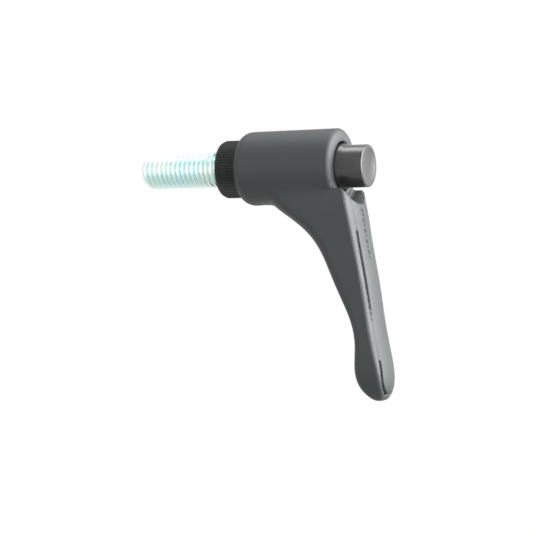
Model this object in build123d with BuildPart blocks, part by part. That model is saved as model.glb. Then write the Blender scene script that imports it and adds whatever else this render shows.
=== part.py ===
"""Adjustable clamping lever with a push-button release.

Millimetres. X runs along the stud, toward the button; the lever's arm hangs along -Z.
The origin is the centre of the face that clamps the work, at the root of the stud.
"""
import os
from math import cos, pi, radians, sin, tan

from build123d import *

os.makedirs("parts", exist_ok=True)

# Stud, an M10 rod
stud_radius = 5.0
stud_length = 25.0
stud_tip = 1.8              # length of the coned tip
stud_tip_taper = 1.5        # what the tip loses in radius
stud_root_radius = 4.51     # pitch radius, where the hidden thread meets the insert's
stud_depth = 11.0           # how far it is screwed into the insert

# Insert, with the serrated collar that shows below the lever
collar_radius = 8.1
collar_length = 7.6
collar_chamfer = 1.2
serration_count = 60
serration_height = 0.36
journal_radius = 6.5
spigot_across_flats = 9.8
spigot_end = 28.0
insert_wall = 1.6           # from the end of the journal to the spigot's shoulder

# Lever hub
hub_start = 6.8
hub_length = 29.0
hub_radius_stud_end = 10.35
hub_radius_button_end = 10.5
hub_nose_length = 3.0       # rounded edge at the stud end, along the axis
hub_rim_radius = 0.7
crown_height = 1.0          # how far the middle of the button end stands above its rim
bore_radius = 8.3
button_hole_radius = 6.9
end_wall = 3.0              # behind the rim, around the button's hole

# Arm: the middle of its back leans away from the hub as it goes down
arm_reach = 63.7
back_start = 39.6
back_lean = 10.2            # degrees
back_crown = 1.6            # how far the middle of the back stands above its edges
crown_half_width = 8.0      # half the width over which it does
back_edge_radius = 1.3
recess_radius = 9.55        # the back starts at an arc around the button end
recess_flare = 8.0          # degrees

# Groove that frames the back, and the row of dimples
groove_width = 0.7
groove_depth = 0.7
groove_inset = 1.35         # from the arm's edge to the groove's outer wall
dimple_radius = 1.05
dimple_depth = 0.35
dimple_count = 5
dimple_pitch = 2.85
dimple_first = 12.6         # below the axis

# Bush, ring, sleeve, spring and button
bush_length = 4.0
ring_thickness = 0.9
ring_outer_radius = 7.6
ring_groove_depth = 0.5
coupling_count = 36
coupling_length = 3.8
coupling_height = 0.8
coupling_root_width = 0.95
coupling_tip_width = 0.3
sleeve_start = 21.5
sleeve_radius = 6.9
sleeve_neck_radius = 3.4
sleeve_neck_length = 6.5
button_radius = 5.85
button_base_radius = 6.3
button_base_length = 4.2
button_projection = 7.9     # above the hub's rim
button_bevel = 0.45
button_dish = 0.5
press_travel = 4.0
spring_wire = 0.8
spring_turns = 4.0

# Clearances
running_gap = 0.05
seat_gap = 0.1
mesh_gap = 0.1
hex_gap = 0.05

hub_end = hub_start + hub_length
bush_start = collar_length + seat_gap
ring_start = bush_start + bush_length + seat_gap
journal_end = ring_start + ring_thickness + insert_wall
cavity_end = hub_end - end_wall
sleeve_top = cavity_end - seat_gap
coupling_start = sleeve_top - coupling_length
coupling_tip_radius = bore_radius - 2 * mesh_gap
coupling_root_radius = coupling_tip_radius - coupling_height
button_end = hub_end + button_projection
back_slope = tan(radians(back_lean))


def ring_of_teeth(count, root, tip, root_width, tip_width):
    """A disc of the root radius with straight-sided teeth round it."""
    Circle(root)
    buried = root * (1 - cos(pi / count)) + 0.05
    with PolarLocations(0, count):
        Polygon(
            (root - buried, -root_width / 2),
            (tip, -tip_width / 2),
            (tip, tip_width / 2),
            (root - buried, root_width / 2),
            align=None,
        )


# The stud is plain here up to the crest of its thread
with BuildPart() as threaded_stud:
    with BuildSketch(Plane.XZ):
        with BuildLine():
            Polyline(
                (-stud_length, 0),
                (-stud_length, stud_radius - stud_tip_taper),
                (-stud_length + stud_tip, stud_radius),
                (0, stud_radius),
                (0, stud_root_radius),
                (stud_depth, stud_root_radius),
                (stud_depth, 0),
                close=True,
            )
        make_face()
    revolve(axis=Axis.X)
threaded_stud.part.label = "threaded_stud"
export_step(threaded_stud.part, "parts/threaded_stud.step")


# Insert: serrated collar, journal with its ring groove, and a hexagonal spigot
with BuildPart() as serrated_insert:
    with BuildSketch(Plane.YZ):
        ring_of_teeth(
            serration_count,
            collar_radius - serration_height,
            collar_radius,
            2 * pi * (collar_radius - serration_height) / serration_count * 0.94,
            0.12,
        )
    extrude(amount=collar_length)
    with BuildSketch(Plane.XZ):
        with BuildLine():
            Polyline(
                (0, 0),
                (0, collar_radius - collar_chamfer),
                (collar_chamfer / 3, collar_radius - collar_chamfer / 3),
                (collar_chamfer, collar_radius),
                (collar_length, collar_radius),
                (collar_length, 0),
                close=True,
            )
        make_face()
    revolve(axis=Axis.X, mode=Mode.INTERSECT)
    with BuildSketch(Plane.YZ.offset(collar_length)):
        Circle(journal_radius)
    extrude(amount=journal_end - collar_length)
    with BuildSketch(Plane.YZ.offset(ring_start)):
        Circle(journal_radius)
        Circle(journal_radius - ring_groove_depth, mode=Mode.SUBTRACT)
    extrude(amount=ring_thickness, mode=Mode.SUBTRACT)
    with BuildSketch(Plane.YZ.offset(journal_end)):
        RegularPolygon(spigot_across_flats / 2, 6, major_radius=False)
    extrude(amount=spigot_end - journal_end)
    with BuildSketch(Plane.YZ):
        Circle(stud_root_radius)
    extrude(amount=stud_depth, mode=Mode.SUBTRACT)
serrated_insert.part.label = "serrated_insert"
export_step(serrated_insert.part, "parts/serrated_insert.step")


# Bush pressed into the lever's mouth; it turns on the insert's journal
with BuildPart() as bearing_bush:
    with BuildSketch(Plane.YZ.offset(bush_start)):
        Circle(bore_radius)
        Circle(journal_radius + running_gap, mode=Mode.SUBTRACT)
    extrude(amount=bush_length)
bearing_bush.part.label = "bearing_bush"
export_step(bearing_bush.part, "parts/bearing_bush.step")


# Open ring in the journal's groove, which keeps the bush on the insert
with BuildPart() as retaining_ring:
    with BuildSketch(Plane.YZ.offset(ring_start)):
        Circle(ring_outer_radius)
        Circle(journal_radius - ring_groove_depth, mode=Mode.SUBTRACT)
        with Locations((0, ring_outer_radius)):
            Rectangle(ring_groove_depth * 5, ring_outer_radius, mode=Mode.SUBTRACT)
    extrude(amount=ring_thickness)
retaining_ring.part.label = "retaining_ring"
export_step(retaining_ring.part, "parts/retaining_ring.step")


# Coupling sleeve: slides on the spigot, its teeth mesh with the lever's
with BuildPart() as coupling_sleeve:
    with BuildSketch(Plane.YZ.offset(sleeve_start)):
        Circle(sleeve_radius)
    extrude(amount=sleeve_top - sleeve_start)
    with BuildSketch(Plane.YZ.offset(coupling_start)):
        ring_of_teeth(
            coupling_count,
            coupling_root_radius,
            coupling_tip_radius,
            coupling_root_width,
            coupling_tip_width,
        )
    extrude(amount=coupling_length)
    with BuildSketch(Plane.YZ.offset(sleeve_top)):
        Circle(sleeve_neck_radius)
    extrude(amount=sleeve_neck_length)
    with BuildSketch(Plane.YZ.offset(sleeve_start)):
        RegularPolygon(spigot_across_flats / 2 + hex_gap, 6, major_radius=False)
    extrude(amount=spigot_end - sleeve_start + press_travel + seat_gap, mode=Mode.SUBTRACT)
coupling_sleeve.part.label = "coupling_sleeve"
export_step(coupling_sleeve.part, "parts/coupling_sleeve.step")


# Return spring, between the journal's shoulder and the sleeve
spring_room = sleeve_start - journal_end
spring_radius = spigot_across_flats / 3**0.5 + spring_wire / 2 + mesh_gap
spring_height = spring_room - spring_wire - 2 * seat_gap
with BuildPart() as return_spring:
    with BuildLine() as coil:
        Helix(
            spring_height / spring_turns, spring_height, spring_radius,
            center=(journal_end + spring_wire / 2 + seat_gap, 0, 0), direction=(1, 0, 0),
        )
    with BuildSketch(Plane(origin=coil.line @ 0, z_dir=coil.line % 0)):
        Circle(spring_wire / 2)
    sweep(path=coil.line, is_frenet=True)
return_spring.part.label = "return_spring"
export_step(return_spring.part, "parts/return_spring.step")


# Button: a dished cap with a slightly wider foot, pressed on the sleeve's neck
with BuildPart() as push_button:
    with BuildSketch(Plane.XZ):
        with BuildLine():
            dish_edge = (button_end, button_radius - 2 * button_bevel)
            Polyline(
                (button_end - button_dish, 0),
                (sleeve_top + sleeve_neck_length, 0),
                (sleeve_top + sleeve_neck_length, sleeve_neck_radius),
                (sleeve_top, sleeve_neck_radius),
                (sleeve_top, button_base_radius),
                (sleeve_top + button_base_length, button_base_radius),
                (sleeve_top + button_base_length + 0.8, button_radius),
                (button_end - button_bevel, button_radius),
                (button_end, button_radius - button_bevel),
                dish_edge,
            )
            RadiusArc(
                dish_edge,
                (button_end - button_dish, 0),
                -((button_radius - 2 * button_bevel) ** 2 + button_dish**2) / (2 * button_dish),
            )
        make_face()
    revolve(axis=Axis.X)
push_button.part.label = "push_button"
export_step(push_button.part, "parts/push_button.step")


def back_at(drop):
    """How far out the middle of the arm's back lies, that far below the axis."""
    return back_start + back_slope * drop


# Sections down the arm: drop below the axis, inner face, fall of the back, half
# width and inner corner radius
arm_sections = [
    (6.0, 14.0, 0.0, 8.0, 7.0),
    (11.5, 17.6, 0.0, 8.25, 6.6),
    (16.5, 25.0, 0.0, 7.9, 5.6),
    (24.0, 31.5, 0.0, 7.55, 4.2),
    (36.0, 37.3, 0.0, 7.25, 3.2),
    (50.0, 41.3, 0.0, 7.05, 3.0),
    (57.5, 41.4, 0.1, 6.4, 3.0),
    (61.5, 43.5, 1.2, 4.8, 2.0),
    (arm_reach, 46.3, 3.1, 2.0, 0.5),
]

# Closed outline of the groove, seen along the axis: a long tapered slot
slot_top = 5.0
slot_half_top = 5.35
slot_end_radius = 4.9
with BuildPart() as groove_tool:
    with BuildSketch(Plane.YZ.offset(hub_end)):
        with Locations((0, -arm_reach + groove_inset + slot_end_radius)):
            Circle(slot_end_radius)
        with Locations((0, -slot_top)):
            Rectangle(2 * slot_half_top, groove_width)
        make_hull()
        offset(amount=-groove_width, kind=Kind.INTERSECTION, mode=Mode.SUBTRACT)
    extrude(amount=arm_reach)
    # only as deep as the groove goes below the arm's back
    with BuildSketch(Plane.XZ):
        floor = []
        for drop, inner, fall, half_width, corner in arm_sections:
            side_fall = back_crown * (min(half_width, slot_half_top) / crown_half_width) ** 2
            floor.append((back_at(drop) - fall - side_fall - groove_depth, -drop))
        with BuildLine():
            Polyline(
                *floor,
                (floor[-1][0] - groove_depth, -arm_reach - groove_depth),
                (hub_end + arm_reach, -arm_reach - groove_depth),
                (hub_end + arm_reach, floor[0][1]),
                close=True,
            )
        make_face()
    extrude(amount=hub_radius_button_end, both=True, mode=Mode.INTERSECT)


with BuildPart() as lever_body:
    # hub, turned about the stud's axis
    with BuildSketch(Plane.XZ):
        with BuildLine():
            nose_height = hub_radius_stud_end - bore_radius - mesh_gap
            nose = EllipticalCenterArc(
                (hub_start + hub_nose_length, bore_radius + mesh_gap),
                hub_nose_length, nose_height, start_angle=90, arc_size=90,
            )
            Polyline(
                nose @ 0,
                (hub_end - hub_rim_radius, hub_radius_button_end),
                (hub_end, hub_radius_button_end - hub_rim_radius),
                (hub_end, recess_radius - seat_gap),
                (hub_end + 2 * crown_height, recess_radius - 2 * seat_gap),
                (hub_end + 2 * crown_height, 0),
                (hub_start, 0),
                nose @ 1,
            )
        make_face()
    revolve(axis=Axis.X)
    # arm, lofted down through its sections
    for drop, inner, fall, half_width, corner in arm_sections:
        back = back_at(drop) - fall
        edge = back - back_crown * (half_width / crown_half_width) ** 2
        with BuildSketch(Plane.XY.offset(-drop)) as section:
            with BuildLine():
                Polyline((edge, half_width), (inner, half_width), (inner, -half_width), (edge, -half_width))
                ThreePointArc((edge, -half_width), (back, 0), (edge, half_width))
            make_face()
            fillet(section.vertices().group_by(Axis.X)[-1], min(back_edge_radius, (edge - inner) / 4))
            fillet(section.vertices().group_by(Axis.X)[0], corner)
    loft()
    # the back starts at an arc round the button end, which is left slightly crowned
    with BuildSketch(Plane.XZ):
        with BuildLine():
            flare = tan(radians(recess_flare))
            Polyline(
                (hub_end, recess_radius),
                (hub_end + arm_reach, recess_radius + flare * arm_reach),
                (hub_end + arm_reach, 0),
                (hub_end + crown_height, 0),
                (hub_end + crown_height, button_hole_radius - seat_gap),
                close=True,
            )
        make_face()
    revolve(axis=Axis.X, mode=Mode.SUBTRACT)
    add(groove_tool.part, mode=Mode.SUBTRACT)
    for index in range(dimple_count):
        drop = dimple_first + index * dimple_pitch
        outward = (cos(radians(back_lean)), 0, sin(radians(back_lean)))
        on_back = Plane(origin=(back_at(drop), 0, -drop), x_dir=(0, 1, 0), z_dir=outward)
        with BuildSketch(on_back.offset(dimple_radius)):
            Circle(dimple_radius)
        extrude(amount=-dimple_radius - dimple_depth, mode=Mode.SUBTRACT)
    # bore for the mechanism, its teeth, and the hole for the button
    with BuildSketch(Plane.YZ.offset(hub_start)):
        Circle(bore_radius)
    extrude(amount=coupling_start - hub_start, mode=Mode.SUBTRACT)
    with BuildSketch(Plane.YZ.offset(coupling_start)):
        ring_of_teeth(
            coupling_count,
            coupling_root_radius + mesh_gap,
            coupling_tip_radius + mesh_gap,
            coupling_root_width + 2 * mesh_gap,
            coupling_tip_width + 2 * mesh_gap,
        )
    extrude(amount=cavity_end - coupling_start, mode=Mode.SUBTRACT)
    with BuildSketch(Plane.YZ.offset(cavity_end)):
        Circle(button_hole_radius)
    extrude(amount=end_wall + crown_height, mode=Mode.SUBTRACT)
lever_body.part.label = "lever_body"
export_step(lever_body.part, "parts/lever_body.step")
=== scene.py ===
import math

import bmesh
import bpy
from mathutils import Matrix, Vector


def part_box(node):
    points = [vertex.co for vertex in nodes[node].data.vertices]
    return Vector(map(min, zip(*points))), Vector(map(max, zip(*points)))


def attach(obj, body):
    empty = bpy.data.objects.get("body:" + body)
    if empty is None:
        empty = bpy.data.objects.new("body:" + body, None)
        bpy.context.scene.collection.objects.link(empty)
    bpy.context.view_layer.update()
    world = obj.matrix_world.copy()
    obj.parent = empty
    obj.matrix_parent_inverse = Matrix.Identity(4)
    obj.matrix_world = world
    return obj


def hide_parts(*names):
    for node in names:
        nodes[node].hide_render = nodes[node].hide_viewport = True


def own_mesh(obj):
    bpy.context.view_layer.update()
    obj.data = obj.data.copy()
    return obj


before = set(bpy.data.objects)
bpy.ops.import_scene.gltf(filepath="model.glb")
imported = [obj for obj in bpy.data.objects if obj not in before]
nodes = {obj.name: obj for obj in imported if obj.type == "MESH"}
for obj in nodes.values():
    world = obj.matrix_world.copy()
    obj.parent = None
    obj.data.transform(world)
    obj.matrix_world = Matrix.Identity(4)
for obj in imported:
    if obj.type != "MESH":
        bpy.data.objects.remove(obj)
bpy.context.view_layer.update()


number, colour = "NodeSocketFloat", "NodeSocketColor"


def newGroup(name, inputs, outputs):        # an effect that several finishes share
    group = bpy.data.node_groups.new(name, "ShaderNodeTree")
    for direction, sockets in (("INPUT", inputs), ("OUTPUT", outputs)):
        for socketName, kind in sockets.items():
            group.interface.new_socket(socketName, in_out=direction, socket_type=kind)
    return group, group.nodes.new("NodeGroupInput"), group.nodes.new("NodeGroupOutput")


def addEffect(tree, group, values):
    effect = tree.nodes.new("ShaderNodeGroup")
    effect.node_tree = group
    for name, value in values.items():
        effect.inputs[name].default_value = value
    return effect


def addNoise(tree, vector, scale, detail, roughness):
    noise = tree.nodes.new("ShaderNodeTexNoise")
    noise.inputs["Detail"].default_value = detail
    noise.inputs["Roughness"].default_value = roughness
    tree.links.new(vector, noise.inputs["Vector"])
    tree.links.new(scale, noise.inputs["Scale"])
    return noise.outputs["Fac"]


def mapRange(tree, source, span, result):
    remap = tree.nodes.new("ShaderNodeMapRange")
    remap.inputs["From Min"].default_value, remap.inputs["From Max"].default_value = span
    remap.inputs["To Min"].default_value, remap.inputs["To Max"].default_value = result
    tree.links.new(source, remap.inputs["Value"])
    return remap.outputs["Result"]


def buildMottle():      # cloudy change between two colours
    group, inlet, outlet = newGroup(
        "mottle",
        {"Scale": number, "Dark": colour, "Light": colour},
        {"Colour": colour, "Cloud": number},
    )
    place = group.nodes.new("ShaderNodeTexCoord")
    cloud = addNoise(group, place.outputs["Object"], inlet.outputs["Scale"], 3.0, 0.6)
    blend = group.nodes.new("ShaderNodeMix")
    blend.data_type = "RGBA"
    group.links.new(mapRange(group, cloud, (0.35, 0.65), (0.0, 1.0)), blend.inputs["Factor"])
    group.links.new(inlet.outputs["Dark"], blend.inputs["A"])
    group.links.new(inlet.outputs["Light"], blend.inputs["B"])
    group.links.new(blend.outputs["Result"], outlet.inputs["Colour"])
    group.links.new(cloud, outlet.inputs["Cloud"])
    return group


def buildGrain():       # fine eroded grain of a moulding
    group, inlet, outlet = newGroup("grain", {"Scale": number}, {"Height": number})
    place = group.nodes.new("ShaderNodeTexCoord")
    height = addNoise(group, place.outputs["Object"], inlet.outputs["Scale"], 2.0, 0.5)
    group.links.new(height, outlet.inputs["Height"])
    return group


def buildTurningMarks():        # fine marks round the X axis
    group, inlet, outlet = newGroup("turningMarks", {"Scale": number}, {"Height": number})
    place = group.nodes.new("ShaderNodeTexCoord")
    stretch = group.nodes.new("ShaderNodeMapping")
    stretch.inputs["Scale"].default_value = (8.0, 1.0, 1.0)
    group.links.new(place.outputs["Object"], stretch.inputs["Vector"])
    height = addNoise(group, stretch.outputs["Vector"], inlet.outputs["Scale"], 3.0, 0.5)
    group.links.new(height, outlet.inputs["Height"])
    return group


mottle, grain, turningMarks = buildMottle(), buildGrain(), buildTurningMarks()


def newMaterial(name, look):        # its colour is mottled, and the rest is up to the finish
    material = bpy.data.materials.new(name)
    material.use_nodes = True
    tree = material.node_tree
    surface = tree.nodes["Principled BSDF"]
    mottled = addEffect(tree, mottle, {
        "Scale": look["cloudScale"], "Dark": (*look["dark"], 1), "Light": (*look["light"], 1),
    })
    tree.links.new(mottled.outputs["Colour"], surface.inputs["Base Color"])
    return material, tree, surface, mottled


def finishSurface(tree, surface, roughSource, look, height, strength, depth):
    rough = mapRange(tree, roughSource, (0.3, 0.7), look["roughness"])
    tree.links.new(rough, surface.inputs["Roughness"])
    bump = tree.nodes.new("ShaderNodeBump")
    bump.inputs["Strength"].default_value = strength
    bump.inputs["Distance"].default_value = depth
    tree.links.new(height, bump.inputs["Height"])
    tree.links.new(bump.outputs["Normal"], surface.inputs["Normal"])
    return bump


def mouldedPlastic(name, look):     # mottled and grained, with softly rounded edges
    material, tree, surface, mottled = newMaterial(name, look)
    grained = addEffect(tree, grain, {"Scale": look["grainScale"]})
    bump = finishSurface(
        tree, surface, mottled.outputs["Cloud"], look, grained.outputs["Height"],
        look["grain"], 0.00003,
    )
    rounding = tree.nodes.new("ShaderNodeBevel")
    rounding.samples = 6
    rounding.inputs["Radius"].default_value = look["edge"]
    tree.links.new(rounding.outputs["Normal"], bump.inputs["Normal"])
    surface.inputs["Specular IOR Level"].default_value = look["shine"]
    surface.inputs["Coat Weight"].default_value = look["coat"]
    surface.inputs["Coat Roughness"].default_value = 0.12
    return material


def finishedMetal(name, look):      # plated or oxidised, turned on a lathe
    material, tree, surface, mottled = newMaterial(name, look)
    surface.inputs["Metallic"].default_value = look["metallic"]
    marked = addEffect(tree, turningMarks, {"Scale": look["markScale"]})
    height = marked.outputs["Height"]
    finishSurface(tree, surface, height, look, height, look["bump"], 0.00002)
    return material


leverLook = {
    "dark": (0.026, 0.031, 0.031), "light": (0.031, 0.037, 0.037),
    "cloudScale": 90.0, "roughness": (0.5, 0.6), "grainScale": 2600.0,
    "grain": 0.35, "edge": 0.00035, "shine": 0.5, "coat": 0.0,
}
buttonLook = {
    "dark": (0.022, 0.022, 0.022), "light": (0.027, 0.027, 0.027),
    "cloudScale": 140.0, "roughness": (0.28, 0.36), "grainScale": 3200.0,
    "grain": 0.08, "edge": 0.00012, "shine": 0.5, "coat": 0.3,
}
oxideLook = {
    "dark": (0.012, 0.013, 0.013), "light": (0.02, 0.022, 0.022), "metallic": 0.35,
    "markScale": 500.0, "cloudScale": 160.0, "roughness": (0.42, 0.58), "bump": 0.3,
}
zincLook = {
    "dark": (0.60, 0.80, 0.81), "light": (0.74, 0.82, 0.76), "metallic": 1.0,
    "markScale": 300.0, "cloudScale": 120.0, "roughness": (0.3, 0.4), "bump": 0.08,
}
steelLook = {
    "dark": (0.42, 0.42, 0.42), "light": (0.5, 0.5, 0.49), "metallic": 1.0,
    "markScale": 600.0, "cloudScale": 150.0, "roughness": (0.25, 0.4), "bump": 0.3,
}
leverPlastic = mouldedPlastic("leverPlastic", leverLook)
buttonPlastic = mouldedPlastic("buttonPlastic", buttonLook)
blackOxide = finishedMetal("blackOxide", oxideLook)
zincPlate = finishedMetal("zincPlate", zincLook)
plainSteel = finishedMetal("plainSteel", steelLook)

nodeFinish = {
    "lever_body": leverPlastic,
    "push_button": buttonPlastic,
    "serrated_insert": blackOxide,
    "threaded_stud": zincPlate,
    "bearing_bush": plainSteel,
    "retaining_ring": plainSteel,
    "coupling_sleeve": plainSteel,
    "return_spring": plainSteel,
}
for name, material in nodeFinish.items():
    for slot in nodes[name].material_slots:
        slot.link = "OBJECT"
        slot.material = material
print("materials done")


threadSize = {      # metres
    "pitch": 0.0015,
    "rootRadius": 0.00408,
    "crest": 0.00022,       # flat along the axis
    "root": 0.00036,
    "steps": 56,            # round one turn
    "tipLength": 0.0018,
    "tipFall": 0.0015,
    "spareTurns": 3,        # past the ends, which are then pressed flat
    "lead": 1.5,            # of those, the pitches before the tip
    "inCollar": 0.0005,     # how far the thread runs past the collar's face
    "weld": 0.000004,
    "sharpAngle": 32,
}


def buildStud():        # one pitch of the profile, spun into a helix as far as the collar
    low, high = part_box("threaded_stud")
    crestRadius = (high[2] - low[2]) / 2
    start = low[0]
    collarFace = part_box("serrated_insert")[0][0]
    pitch = threadSize["pitch"]
    flank = (pitch - threadSize["crest"] - threadSize["root"]) / 2
    turns = math.ceil((collarFace - start) / pitch) + threadSize["spareTurns"]
    profile = (
        (0.0, threadSize["rootRadius"]),
        (threadSize["root"] / 2, threadSize["rootRadius"]),
        (threadSize["root"] / 2 + flank, crestRadius),
        (threadSize["root"] / 2 + flank + threadSize["crest"], crestRadius),
        (pitch - threadSize["root"] / 2, threadSize["rootRadius"]),
        (pitch, threadSize["rootRadius"]),
    )
    mesh = bmesh.new()
    origin = start - threadSize["lead"] * pitch
    row = [mesh.verts.new((origin + along, 0, radius)) for along, radius in profile]
    edges = [mesh.edges.new((a, b)) for a, b in zip(row, row[1:])]
    steps = threadSize["steps"]
    bmesh.ops.spin(
        mesh, geom=row + edges, cent=(0, 0, 0), axis=(1, 0, 0), dvec=(pitch / steps, 0, 0),
        angle=turns * math.tau, steps=turns * steps,
    )
    bmesh.ops.remove_doubles(mesh, verts=mesh.verts[:], dist=threadSize["weld"])
    for vert in mesh.verts:
        radius = math.hypot(vert.co.y, vert.co.z)
        depth = vert.co.x - start
        alongTip = min(max(depth / threadSize["tipLength"], 0), 1)
        limit = crestRadius - threadSize["tipFall"] * (1 - alongTip)
        if depth < 0:
            limit = max(limit * (1 + depth / pitch), 0.0)
        target = min(radius, limit)
        if radius > 0:
            vert.co.y *= target / radius
            vert.co.z *= target / radius
        vert.co.x = min(max(vert.co.x, start), collarFace + threadSize["inCollar"])
    bmesh.ops.remove_doubles(mesh, verts=mesh.verts[:], dist=threadSize["weld"])
    bmesh.ops.dissolve_degenerate(mesh, dist=0.000002, edges=mesh.edges[:])
    bmesh.ops.recalc_face_normals(mesh, faces=mesh.faces[:])
    data = bpy.data.meshes.new("studThread")
    mesh.to_mesh(data)
    mesh.free()
    stud = bpy.data.objects.new("studThread", data)
    bpy.context.collection.objects.link(stud)
    data.materials.append(zincPlate)
    data.shade_smooth()
    data.set_sharp_from_angle(angle=math.radians(threadSize["sharpAngle"]))
    return stud


stud = buildStud()
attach(stud, "insert")
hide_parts("threaded_stud")
print("stud done", len(stud.data.polygons))


leverSize = {       # metres
    "grid": 0.0003,
    "boreSkin": 0.0092,     # nearer the axis than this is the bore, which stays as it is
    "passes": 200,
    "dimples": 5,
    "dimpleRadius": 0.00105,
    "dimplePitch": 0.00285,
    "firstDimple": 0.0126,  # below the stud's axis
    "dimpleFloor": 0.0006,  # below the arm's back
    "dimpleReach": 0.004,   # length of a dimple's cutter
    "lean": 10.2,           # of the arm's back, in degrees
    "backStart": 0.0038,    # of the back, beyond the rim
    "buttonReach": 0.0079,  # of the button, beyond the rim
    "faceRadius": 0.0099,   # of the round end face that the arm's back meets
    "faceFloor": 0.0004,    # beyond the rim
    "faceReach": 0.02,
    "cornerStart": 0.0105,  # the smoothed corner under the hub, along the axis
    "cornerEnd": 0.0012,    # short of the rim
    "cornerTop": 0.5,       # shares of the hub's radius
    "cornerBottom": 0.78,
    "spread": 0.6,
}


def cutAway(work, other):
    cut = work.modifiers.new("cut", "BOOLEAN")
    cut.operation = "DIFFERENCE"
    cut.solver = "EXACT"
    cut.object = other
    seen = work.evaluated_get(bpy.context.evaluated_depsgraph_get())
    data = bpy.data.meshes.new_from_object(seen)
    work.modifiers.clear()
    work.data = data
    bpy.data.objects.remove(other)


def solidAlongX(name, radius, start, end, segments=128):
    mesh = bmesh.new()
    bmesh.ops.create_cone(
        mesh, cap_ends=True, segments=segments, radius1=radius, radius2=radius, depth=end - start,
        matrix=Matrix.Translation(((start + end) / 2, 0, 0))
        @ Matrix.Rotation(math.pi / 2, 4, "Y"),
    )
    data = bpy.data.meshes.new(name)
    mesh.to_mesh(data)
    mesh.free()
    piece = bpy.data.objects.new(name, data)
    bpy.context.collection.objects.link(piece)
    return piece


def buildLever():       # the CAD moulding, cut, remeshed evenly and eased under the hub
    source = nodes["lever_body"]
    low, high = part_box("lever_body")
    hubRadius = high[2]
    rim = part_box("push_button")[1][0] - leverSize["buttonReach"]
    work = bpy.data.objects.new("leverWork", source.data.copy())
    bpy.context.collection.objects.link(work)
    lean = math.tan(math.radians(leverSize["lean"]))
    for index in range(leverSize["dimples"]):
        drop = leverSize["firstDimple"] + index * leverSize["dimplePitch"]
        floor = rim + leverSize["backStart"] + lean * drop - leverSize["dimpleFloor"]
        end = floor + leverSize["dimpleReach"]
        cutter = solidAlongX("dimple", leverSize["dimpleRadius"], floor, end, 32)
        cutter.data.transform(Matrix.Translation((0, 0, -drop)))
        cutAway(work, cutter)
    cutAway(work, solidAlongX(
        "endFace", leverSize["faceRadius"],
        rim + leverSize["faceFloor"], rim + leverSize["faceReach"],
    ))
    remesh = work.modifiers.new("even", "REMESH")
    remesh.mode = "VOXEL"
    remesh.voxel_size = leverSize["grid"]
    seen = work.evaluated_get(bpy.context.evaluated_depsgraph_get())
    data = bpy.data.meshes.new_from_object(seen)
    bpy.data.objects.remove(work)
    mesh = bmesh.new()
    mesh.from_mesh(data)

    def underHub(vert, spread):
        along, across, up = vert.co
        if math.hypot(across, up) < leverSize["boreSkin"]:
            return False
        if not leverSize["cornerStart"] < along < rim - leverSize["cornerEnd"]:
            return False
        lowest = -hubRadius * leverSize["cornerBottom"] - spread
        return lowest < up < -hubRadius * leverSize["cornerTop"] + spread

    for share in (1.0, 0.75, 0.5, 0.3):
        picked = [vert for vert in mesh.verts
                  if underHub(vert, share * hubRadius * leverSize["spread"])]
        for _ in range(leverSize["passes"] // 4):
            bmesh.ops.smooth_vert(
                mesh, verts=picked, factor=0.5, use_axis_x=True, use_axis_y=True, use_axis_z=True,
            )
    bmesh.ops.smooth_vert(
        mesh, verts=mesh.verts[:], factor=0.5, use_axis_x=True, use_axis_y=True, use_axis_z=True,
    )
    mesh.to_mesh(data)
    mesh.free()
    data.name = "leverSkin"
    skin = bpy.data.objects.new("leverSkin", data)
    bpy.context.collection.objects.link(skin)
    data.materials.clear()
    data.materials.append(leverPlastic)
    data.shade_smooth()
    return skin


lever = buildLever()
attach(lever, "lever")
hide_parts("lever_body")
print("lever done", len(lever.data.polygons))


buttonSize = {      # metres, the same as the CAD button's, but with rounded edges
    "neckRadius": 0.0034,
    "neckDepth": 0.0065,
    "headRadius": 0.00585,
    "footLength": 0.0042,
    "footFall": 0.0008,     # length over which the foot narrows to the head
    "edge": 0.00045,
    "dish": 0.0005,
    "rings": 14,
    "segments": 96,
    "weld": 0.000002,
    "sharpAngle": 50,
}


def quarter(centre, radius, first, last, count=6):      # points as (along, out)
    for index in range(count + 1):
        angle = math.radians(first + (last - first) * index / count)
        yield centre[0] + radius * math.cos(angle), centre[1] + radius * math.sin(angle)


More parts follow.
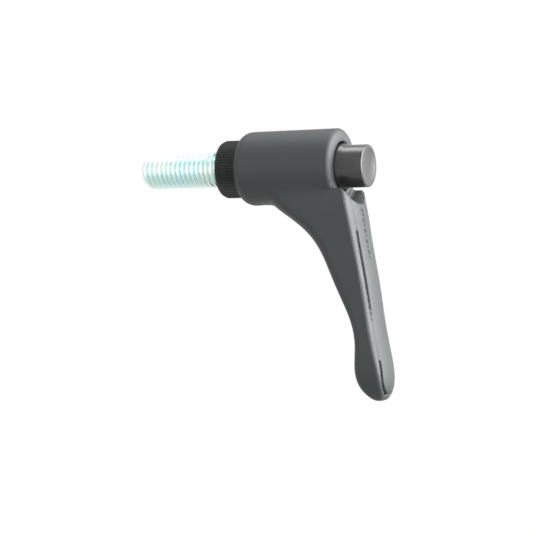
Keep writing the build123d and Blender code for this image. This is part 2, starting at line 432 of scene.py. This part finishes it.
def buildButton():
    low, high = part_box("push_button")
    base, end = low[0], high[0]
    footRadius = high[2]
    edge = buttonSize["edge"]
    head = buttonSize["headRadius"]
    lip = head - 2 * edge
    profile = [(base, buttonSize["neckRadius"]), (base, footRadius - edge / 2)]
    profile += list(quarter((base + edge / 2, footRadius - edge / 2), edge / 2, 180, 90))
    step = base + buttonSize["footLength"]
    profile += [(step, footRadius), (step + buttonSize["footFall"], head)]
    profile += list(quarter((end - edge, head - edge), edge, 90, 0))
    for ring in range(buttonSize["rings"] + 1):
        out = lip * (1 - ring / buttonSize["rings"])
        profile.append((end - buttonSize["dish"] * (1 - (out / lip) ** 2), out))
    neckTop = base + buttonSize["neckDepth"]
    neck = buttonSize["neckRadius"]
    profile += [(neckTop, 0.0), (neckTop, neck), (base, neck)]
    mesh = bmesh.new()
    row = [mesh.verts.new((along, 0, out)) for along, out in profile]
    edges = [
        mesh.edges.new(pair) for pair in zip(row, row[1:])
        if pair[0].co.z > 0 or pair[1].co.z > 0
    ]
    bmesh.ops.spin(
        mesh, geom=row + edges, cent=(0, 0, 0), axis=(1, 0, 0), dvec=(0, 0, 0),
        angle=math.tau, steps=buttonSize["segments"], use_merge=True,
    )
    bmesh.ops.remove_doubles(mesh, verts=mesh.verts[:], dist=buttonSize["weld"])
    bmesh.ops.dissolve_degenerate(mesh, dist=0.000001, edges=mesh.edges[:])
    bmesh.ops.recalc_face_normals(mesh, faces=mesh.faces[:])
    data = bpy.data.meshes.new("buttonHead")
    mesh.to_mesh(data)
    mesh.free()
    data.materials.append(buttonPlastic)
    data.shade_smooth()
    data.set_sharp_from_angle(angle=math.radians(buttonSize["sharpAngle"]))
    button = bpy.data.objects.new("buttonHead", data)
    bpy.context.collection.objects.link(button)
    return button


button = buildButton()
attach(button, "button")
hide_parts("push_button")
print("button done", len(button.data.polygons))


def buildSpring():      # the CAD coil, copied and carried with the insert
    data = nodes["return_spring"].data.copy()
    data.name = "returnCoil"
    coil = bpy.data.objects.new("returnCoil", data)
    bpy.context.collection.objects.link(coil)
    data.materials.clear()
    data.materials.append(plainSteel)
    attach(coil, "insert")
    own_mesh(coil)
    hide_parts("return_spring")


buildSpring()
print("spring done")


cameraView = {
    "azimuth": math.radians(25.0),
    "distance": 0.45,
    "lens": 108.8,
    "aim": Vector((0.0133, -0.0008, -0.0274)),
}
towardCamera = Vector((math.sin(cameraView["azimuth"]), -math.cos(cameraView["azimuth"]), 0))

cameraData = bpy.data.cameras.new("camera")
cameraData.lens = cameraView["lens"]
cameraData.sensor_width = 36
camera = bpy.data.objects.new("camera", cameraData)
bpy.context.collection.objects.link(camera)
camera.location = cameraView["aim"] + towardCamera * cameraView["distance"]
sight = cameraView["aim"] - camera.location
camera.rotation_euler = sight.to_track_quat("-Z", "Y").to_euler()
bpy.context.scene.camera = camera


def softBox(name, position, size, power, aim=(0.02, 0, -0.02)):
    lightData = bpy.data.lights.new(name, "AREA")
    lightData.shape = "RECTANGLE"
    lightData.size, lightData.size_y = size
    lightData.energy = power
    light = bpy.data.objects.new(name, lightData)
    bpy.context.collection.objects.link(light)
    light.location = position
    light.rotation_euler = (Vector(aim) - Vector(position)).to_track_quat("-Z", "Y").to_euler()
    return light


softBox("overhead", (0.02, 0.05, 0.6), (0.5, 0.3), 2.6)
softBox("rightBank", (0.5, 0.22, 0.14), (0.4, 0.5), 9.5)
softBox("rimStrip", (0.5, -0.26, 0.08), (0.06, 0.4), 1.8)
softBox("leftStrip", (-0.3, -0.6, 0.1), (0.25, 0.7), 1.2)

world = bpy.data.worlds.new("whiteRoom")
bpy.context.scene.world = world
world.use_nodes = True
worldNodes, worldLinks = world.node_tree.nodes, world.node_tree.links
room = worldNodes["Background"]
room.inputs["Color"].default_value = (0.28, 0.28, 0.28, 1)
backdrop = worldNodes.new("ShaderNodeBackground")
backdrop.inputs["Color"].default_value = (1, 1, 1, 1)
paths = worldNodes.new("ShaderNodeLightPath")
chooser = worldNodes.new("ShaderNodeMixShader")
backdropRays = paths.outputs["Is Camera Ray"]       # these rays meet white, the others grey
for ray in ("Is Glossy Ray", "Is Transmission Ray"):
    either = worldNodes.new("ShaderNodeMath")
    either.operation = "MAXIMUM"
    worldLinks.new(backdropRays, either.inputs[0])
    worldLinks.new(paths.outputs[ray], either.inputs[1])
    backdropRays = either.outputs["Value"]
worldLinks.new(backdropRays, chooser.inputs["Fac"])
worldLinks.new(room.outputs["Background"], chooser.inputs[1])
worldLinks.new(backdrop.outputs["Background"], chooser.inputs[2])
worldLinks.new(chooser.outputs["Shader"], worldNodes["World Output"].inputs["Surface"])
bpy.context.scene.view_settings.view_transform = "Standard"
print("stage done")
